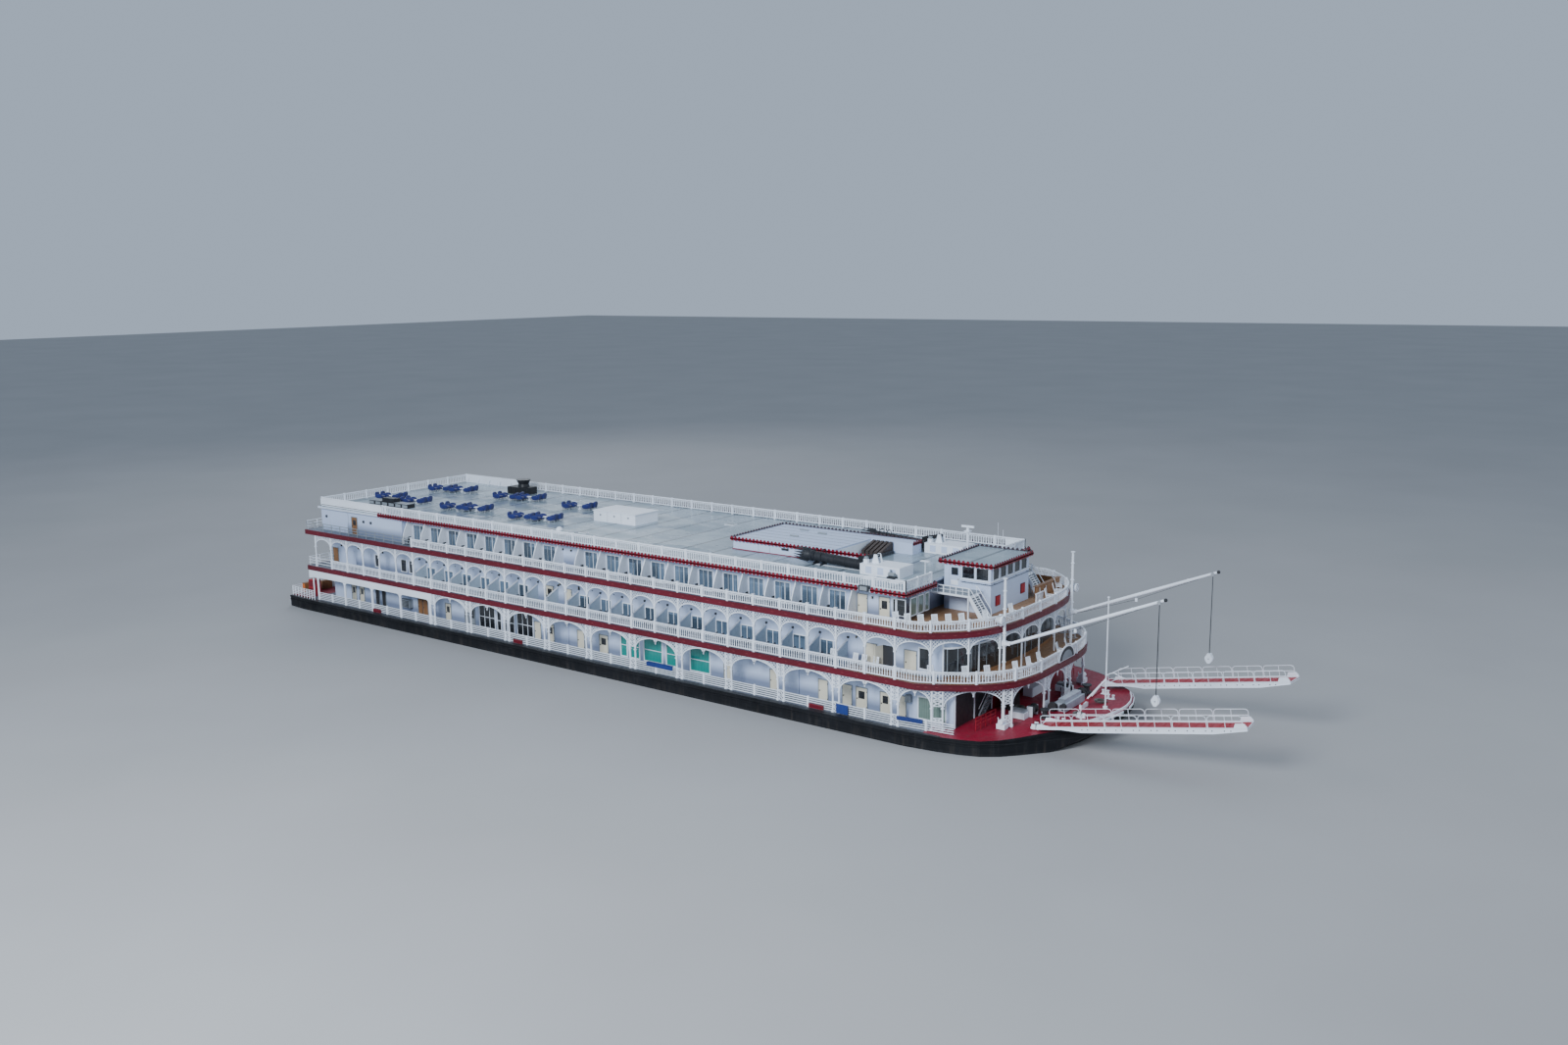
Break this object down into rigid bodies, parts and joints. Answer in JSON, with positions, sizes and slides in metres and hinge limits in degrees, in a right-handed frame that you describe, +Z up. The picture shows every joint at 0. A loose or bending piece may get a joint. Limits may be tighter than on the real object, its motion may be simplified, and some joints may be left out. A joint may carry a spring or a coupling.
{
  "type": "stern-wheel paddle steamer, 1:10 scale model",
  "caption": "River paddle steamer model with a red stern wheel, three white galleried decks, pilothouse, folding stacks and bow landing stages on booms.",
  "frame": {"origin": "centre of the hull's flat bottom, on the centreline amidships", "axes": "+X towards the bow, +Y to port, +Z up; the waterline is at Z 0.210 m"},
  "size_m": [11.2653, 2.524, 1.746],
  "materials": {
    "white_paint": "satin",
    "red_paint": "satin",
    "deck_red": "matt",
    "hull_black": "satin",
    "roof_grey": "satin, damp",
    "dark_grey": "satin",
    "deck_wood": "matt",
    "bright_steel": "satin",
    "window_glass": "gloss",
    "chair_blue": "matt",
    "rope": "matt"
  },
  "bodies": {
    "vessel": {"hull": "hull_black", "main_deck": "deck_red", "foredeck": "deck_red", "fantail_starboard": "deck_red", "fantail_port": "deck_red", "deck_2": "red_paint", "deck_3": "red_paint", "roof": "roof_grey", "roof_wing_starboard": "roof_grey", "roof_wing_port": "roof_grey", "main_house": "white_paint", "house_2": "white_paint", "house_3": "white_paint", "screen_2_starboard": "white_paint", "screen_2_port": "white_paint", "rail_3_starboard": "white_paint", "rail_3_port": "white_paint", "screen_main_starboard": "white_paint", "screen_main_port": "white_paint", "bow_screen_2": "white_paint", "bow_rail_3": "white_paint", "bow_columns": "white_paint", "stern_rail_2": "white_paint", "stern_rail_3": "white_paint", "roof_rail": "white_paint", "roof_house": "white_paint", "funnel": "dark_grey", "roof_counter": "dark_grey", "roof_locker": "white_paint", "stack_casing_starboard": "white_paint", "stack_casing_port": "white_paint", "pilothouse": "white_paint", "pilothouse_roof": "roof_grey", "pilothouse_landing_starboard": "white_paint", "pilothouse_landing_port": "white_paint", "mast_starboard": "white_paint", "mast_port": "white_paint", "jackstaff": "white_paint", "foredeck_gear": "white_paint", "radar_mast": "white_paint"},
    "paddle_wheel": {"paddle_wheel": "red_paint"},
    "rudder_starboard": {"rudder_starboard": "deck_red"},
    "rudder_port": {"rudder_port": "deck_red"},
    "boom_collar_starboard": {"boom_collar_starboard": "white_paint"},
    "boom_collar_port": {"boom_collar_port": "white_paint"},
    "boom_starboard": {"boom_starboard": "white_paint"},
    "boom_port": {"boom_port": "white_paint"},
    "falls_starboard": {"falls_starboard": "bright_steel"},
    "falls_port": {"falls_port": "bright_steel"},
    "stage_swivel_starboard": {"stage_swivel_starboard": "white_paint"},
    "stage_swivel_port": {"stage_swivel_port": "white_paint"},
    "stage_starboard": {"stage_starboard": "white_paint"},
    "stage_port": {"stage_port": "white_paint"},
    "stack_starboard": {"stack_starboard": "dark_grey"},
    "stack_port": {"stack_port": "dark_grey"},
    "radar_scanner": {"radar_scanner": "white_paint"},
    "capstan_starboard": {"capstan_starboard": "dark_grey"},
    "capstan_port": {"capstan_port": "dark_grey"},
    "pilothouse_door_starboard": {"pilothouse_door_starboard": "white_paint"},
    "pilothouse_door_port": {"pilothouse_door_port": "white_paint"}
  },
  "joints": [
    {"name": "paddle_wheel_turn", "type": "hinge", "parent": "vessel", "child": "paddle_wheel", "pos_m": [-4.905, 0, 0.4], "axis": [0, 1, 0], "continuous": true},
    {"name": "rudder_starboard_turn", "type": "hinge", "parent": "vessel", "child": "rudder_starboard", "pos_m": [-4.775, -0.9, 0.09], "axis": [0, 0, 1], "range_deg": [-35, 35]},
    {"name": "rudder_port_turn", "type": "hinge", "parent": "vessel", "child": "rudder_port", "pos_m": [-4.775, 0.9, 0.09], "axis": [0, 0, 1], "range_deg": [-35, 35]},
    {"name": "boom_slew_starboard", "type": "hinge", "parent": "vessel", "child": "boom_collar_starboard", "pos_m": [4.127, -0.64, 1.019], "axis": [0, 0, -1], "range_deg": [0, 50]},
    {"name": "boom_slew_port", "type": "hinge", "parent": "vessel", "child": "boom_collar_port", "pos_m": [4.127, 0.64, 1.019], "axis": [0, 0, 1], "range_deg": [0, 50]},
    {"name": "boom_luff_starboard", "type": "hinge", "parent": "boom_collar_starboard", "child": "boom_starboard", "pos_m": [4.177, -0.64, 1.019], "axis": [0, -1, 0], "range_deg": [-2.4, 16.6]},
    {"name": "boom_luff_port", "type": "hinge", "parent": "boom_collar_port", "child": "boom_port", "pos_m": [4.177, 0.64, 1.019], "axis": [0, -1, 0], "range_deg": [-4, 15]},
    {"name": "falls_hang_starboard", "type": "hinge", "parent": "boom_starboard", "child": "falls_starboard", "pos_m": [5.387, -0.587, 1.52], "axis": [0, -1, 0], "range_deg": [-16.7, 2.5]},
    {"name": "falls_hang_port", "type": "hinge", "parent": "boom_port", "child": "falls_port", "pos_m": [5.387, 0.587, 1.52], "axis": [0, -1, 0], "range_deg": [-15.1, 4.1]},
    {"name": "stage_swing_starboard", "type": "hinge", "parent": "vessel", "child": "stage_swivel_starboard", "pos_m": [4.44, -0.69, 0.4], "axis": [0, 0, -1], "range_deg": [0, 62.6]},
    {"name": "stage_swing_port", "type": "hinge", "parent": "vessel", "child": "stage_swivel_port", "pos_m": [4.44, 0.69, 0.4], "axis": [0, 0, 1], "range_deg": [0, 62.6]},
    {"name": "stage_pitch_starboard", "type": "hinge", "parent": "stage_swivel_starboard", "child": "stage_starboard", "pos_m": [4.44, -0.69, 0.402], "axis": [0.0754, -0.9972, 0], "range_deg": [-3.2, 21.7]},
    {"name": "stage_pitch_port", "type": "hinge", "parent": "stage_swivel_port", "child": "stage_port", "pos_m": [4.44, 0.69, 0.402], "axis": [-0.0754, -0.9972, 0], "range_deg": [-5.3, 19.6]},
    {"name": "stack_fold_starboard", "type": "hinge", "parent": "vessel", "child": "stack_starboard", "pos_m": [2.85, -0.545, 1.578], "axis": [0, 1, 0], "range_deg": [0, 87.2]},
    {"name": "stack_fold_port", "type": "hinge", "parent": "vessel", "child": "stack_port", "pos_m": [2.85, 0.545, 1.578], "axis": [0, 1, 0], "range_deg": [0, 87.2]},
    {"name": "radar_turn", "type": "hinge", "parent": "vessel", "child": "radar_scanner", "pos_m": [3.25, 0.33, 1.737], "axis": [0, 0, 1], "continuous": true},
    {"name": "capstan_starboard_turn", "type": "hinge", "parent": "vessel", "child": "capstan_starboard", "pos_m": [4.392, -0.41, 0.4], "axis": [0, 0, 1], "continuous": true},
    {"name": "capstan_port_turn", "type": "hinge", "parent": "vessel", "child": "capstan_port", "pos_m": [4.392, 0.41, 0.4], "axis": [0, 0, 1], "continuous": true},
    {"name": "pilothouse_door_starboard_hinge", "type": "hinge", "parent": "vessel", "child": "pilothouse_door_starboard", "pos_m": [3.451, -0.35, 1.46], "axis": [0, 0, -1], "range_deg": [0, 90]},
    {"name": "pilothouse_door_port_hinge", "type": "hinge", "parent": "vessel", "child": "pilothouse_door_port", "pos_m": [3.451, 0.35, 1.46], "axis": [0, 0, 1], "range_deg": [0, 90]}
  ],
  "couplings": [
    {"joint": "rudder_port_turn", "follows": "rudder_starboard_turn", "ratio": 1},
    {"joint": "falls_hang_starboard", "follows": "boom_luff_starboard", "ratio": -1},
    {"joint": "falls_hang_port", "follows": "boom_luff_port", "ratio": -1},
    {"joint": "stage_swing_starboard", "follows": "boom_slew_starboard", "ratio": 1.25},
    {"joint": "stage_swing_port", "follows": "boom_slew_port", "ratio": 1.25},
    {"joint": "stage_pitch_starboard", "follows": "boom_luff_starboard", "ratio": 1.3},
    {"joint": "stage_pitch_port", "follows": "boom_luff_port", "ratio": 1.3}
  ]
}
